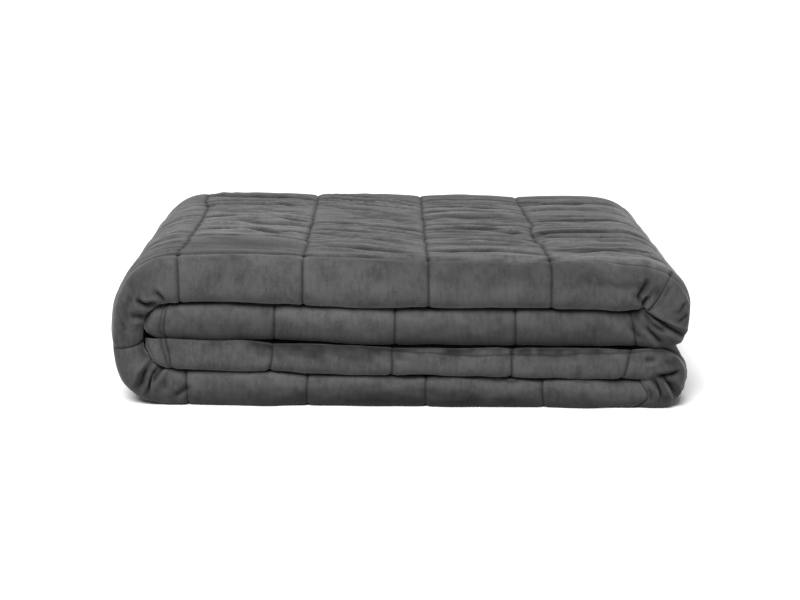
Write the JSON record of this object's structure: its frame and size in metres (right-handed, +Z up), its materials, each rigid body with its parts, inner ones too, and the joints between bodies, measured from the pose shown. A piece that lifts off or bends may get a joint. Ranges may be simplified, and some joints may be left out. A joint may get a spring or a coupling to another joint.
{
  "type": "weighted blanket",
  "caption": "Quilted plush weighted blanket, folded in half and half again across its width, then gate-folded along its length into a low stack.",
  "frame": {"origin": "middle of the underside of the folded stack, on the surface that it rests on", "axes": "+X along the folded strip, towards the side with two bends, +Y from the rounded front folds to the back, +Z up"},
  "size_m": [0.48, 0.3904, 0.1259],
  "materials": {
    "plush": "short dark grey plush pile, soft sheen, quilted in squares"
  },
  "bodies": {
    "root": {"blanket": "plush"}
  },
  "joints": []
}
